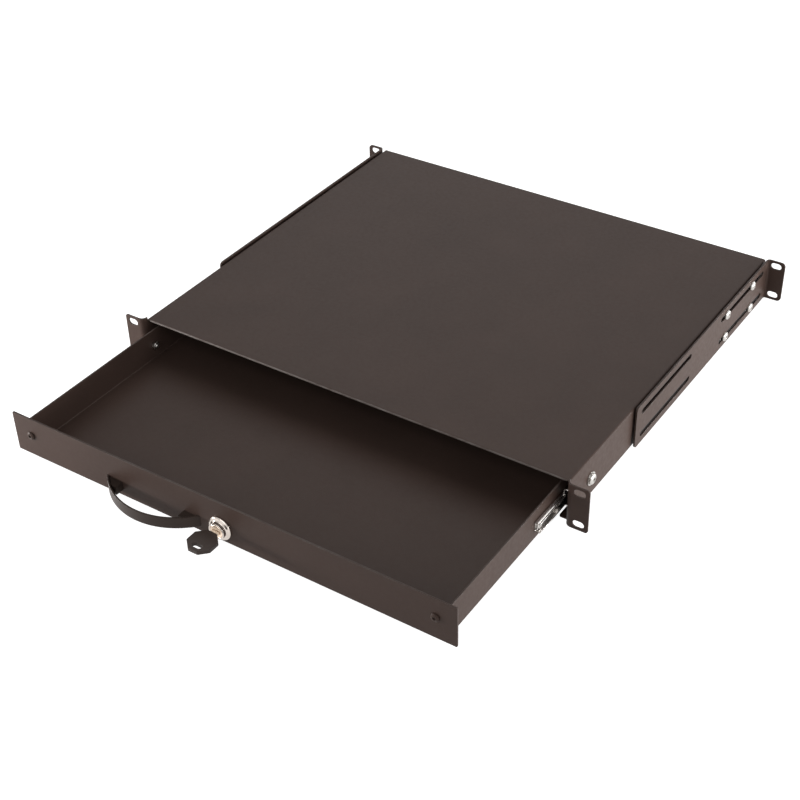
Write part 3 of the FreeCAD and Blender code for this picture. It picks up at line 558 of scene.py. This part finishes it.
def plug_detail():
    """The lock's plug with a dished face, a stepped keyway mouth and the squared tail for the cam."""
    points = solids_of("lock_plug")[0]
    (left, right), (front, back), (low, high) = span(points)
    middle = Vector(((left + right) / 2, front, (low + high) / 2))
    local = [(p.x - middle.x, p.z - middle.z, p.y - front) for p in points]
    radius = (right - left) / 2
    shoulder = max(h for x, z, h in local if math.hypot(x, z) > RIM_SHARE * radius)
    mouth = [(abs(x), abs(z)) for x, z, h in local if h < CLOSE and math.hypot(x, z) < 0.95 * radius]
    wide, tall = (max(sizes) for sizes in zip(*mouth))
    deep = max(h for x, z, h in local if abs(abs(x) - wide) < CLOSE and abs(abs(z) - tall) < CLOSE)
    end = [(abs(x), math.hypot(x, z)) for x, z, h in local if h > back - front - CLOSE]
    half = max(x for x, _ in end)
    bore = min(reach for _, reach in end)
    seat = min(h for x, z, h in local if h > deep and abs(math.hypot(x, z) - bore) < CLOSE)

    def block(across, along, start, stop):
        outline = [(across, along), (-across, along), (-across, -along), (across, -along)]
        return prism(outline, start, stop)

    dish = 0.18 * MM
    rows = [(dish, 0), (dish, 0.62 * radius), (0.1 * dish, 0.78 * radius), (0, 0.84 * radius),
            (0, radius - 0.35 * MM), (0.35 * MM, radius), (shoulder, radius), (shoulder, 0)]
    shape = cut(revolve(rows, steps=72), block(half, half, shoulder - MM, back - front), "UNION")
    shape = cut(shape, block(wide, tall, -MM, deep))
    shape = cut(shape, block(wide + 0.5 * MM, tall + 0.45 * MM, -MM, 0.7 * MM))
    past_tail = back - front + MM
    shape = cut(shape, revolve([(seat, 0), (seat, bore), (past_tail, bore), (past_tail, 0)]))
    place = Matrix.Translation(middle) @ Matrix.Rotation(-math.pi / 2, 4, "X")
    assemble("lock_plug_detail", [(shape, place)], "plug", "plug_brass", "lock_plug")


def dress_fasteners():
    """Detail on every screw and nut, and on the lock."""
    forward, backward, own_side = -1, 1, 0
    low_dome = 0.2
    thread_bore = 2 * MM
    screws("panel_screws", Y, forward, "drawer", "fastener_black", socket=True)
    screws("handle_screws", Y, backward, "drawer", "fastener_zinc")
    screws("slide_inner_screws", X, own_side, "drawer", "fastener_zinc")
    screws("slide_outer_screws", X, own_side, "case", "fastener_zinc", low_dome, socket=True)
    screws("bracket_screws", X, own_side, "case", "fastener_zinc", low_dome)
    screws("cam_screw", Y, backward, "plug", "fastener_zinc")
    nuts("panel_nuts", Y, "drawer", "fastener_zinc", thread_bore)
    nuts("slide_inner_nuts", X, "drawer", "fastener_zinc", thread_bore)
    barrel = lock_detail()
    nuts("lock_nut", Y, "drawer", "fastener_zinc", barrel, pitch=1.0 * MM)
    plug_detail()


# Stage

def stage():
    """A pale floor under the drawer, white to the camera, with the drawer's faint shadow."""
    glow_level, grey, reach, gap = 0.93, 0.60, 6.0, 0.2 * MM
    made = bpy.data.materials.new("studio_floor")
    made.use_nodes = True
    tree = made.node_tree
    tree.nodes.clear()
    glow_strength = spread(tree, background_rays(tree), low=0.0, high=glow_level, start=0, end=1)
    glow = node(tree, "ShaderNodeEmission", {"Color": (1, 1, 1, 1), "Strength": glow_strength})
    paper = node(tree, "ShaderNodeBsdfDiffuse", {"Color": (grey, grey, grey, 1)})
    both = node(tree, "ShaderNodeAddShader")
    tree.links.new(glow.outputs[0], both.inputs[0])
    tree.links.new(paper.outputs[0], both.inputs[1])
    output = node(tree, "ShaderNodeOutputMaterial")
    tree.links.new(both.outputs[0], output.inputs["Surface"])

    mesh = bpy.data.meshes.new("floor")
    corners = [(-reach, -reach, 0), (reach, -reach, 0), (reach, reach, 0), (-reach, reach, 0)]
    mesh.from_pydata(corners, [], [(0, 1, 2, 3)])
    mesh.materials.append(made)
    floor = bpy.data.objects.new("floor", mesh)
    floor.location.z = cad_box[0].z - gap
    bpy.context.scene.collection.objects.link(floor)


def surroundings(level):
    """A world that is white where it is seen, also in metal, and grey as a light."""
    world = bpy.data.worlds.new("studio")
    bpy.context.scene.world = world
    world.use_nodes = True
    tree = world.node_tree
    strength = spread(tree, background_rays(tree), low=level, high=1.0, start=0, end=1)
    background = tree.nodes["Background"]
    tree.links.new(strength, background.inputs["Strength"])
    background.inputs["Color"].default_value = (1, 1, 1, 1)


def lamp(name, place, target, size, power):
    """A soft rectangular lamp that the camera doesn't see."""
    data = bpy.data.lights.new(name, "AREA")
    data.shape = "RECTANGLE"
    data.size, data.size_y = size
    data.energy = power
    made = bpy.data.objects.new(name, data)
    made.location = place
    made.rotation_euler = (Vector(target) - Vector(place)).to_track_quat("-Z", "Y").to_euler()
    made.visible_camera = False
    bpy.context.scene.collection.objects.link(made)


def camera():
    """The photograph's viewpoint, fitted to points of known size in it and to the outline."""
    azimuth, elevation, roll = (math.radians(value) for value in (34.376, 36.536, 1.49))
    offset_right, offset_down, distance = -0.0523, 0.01348, 1.2969
    forward = Vector((-math.sin(azimuth) * math.cos(elevation),
                      math.cos(azimuth) * math.cos(elevation), -math.sin(elevation)))
    level = Vector((math.cos(azimuth), math.sin(azimuth), 0))
    plumb = forward.cross(level)
    right = math.cos(roll) * level + math.sin(roll) * plumb
    down = math.cos(roll) * plumb - math.sin(roll) * level
    place = -(offset_right * right + offset_down * down + distance * forward)
    data = bpy.data.cameras.new("camera")
    data.sensor_width = 36
    data.lens = 67.76
    made = bpy.data.objects.new("camera", data)
    turned = Matrix((right, -down, -forward)).transposed().to_4x4()
    made.matrix_world = Matrix.Translation(place) @ turned
    bpy.context.scene.collection.objects.link(made)
    bpy.context.scene.camera = made


def finish_nodes():
    """Every CAD node takes the finish of its slot in the record."""
    for entry in frame["record"]["subparts"]:
        mesh = NODES[entry["node"]].data
        mesh.materials.clear()
        mesh.materials.append(FINISHES[entry["material_slot"]])


finish_nodes()
dress_fasteners()
stage()
surroundings(level=0.12)
lamp("top", place=(-0.35, 1.45, 1.85), target=(0, 0.1, 0), size=(2.6, 2.0), power=22.4)
lamp("right", place=(1.1, 0.65, 0.045), target=(0.2, 0.1, 0), size=(1.1, 0.10), power=13.7)
lamp("front", place=(-0.66, -0.40, 0.04), target=(-0.2, -0.16, 0), size=(0.30, 0.08), power=5.6)
lamp("fill", place=(0.15, -1.25, 0.95), target=(0, 0, 0), size=(1.2, 1.2), power=7.6)
lamp("inner", place=(1.2, 0.0, 0.26), target=(-0.2, -0.08, 0), size=(0.6, 0.3), power=4.8)
camera()
bpy.context.scene.view_settings.view_transform = "Standard"
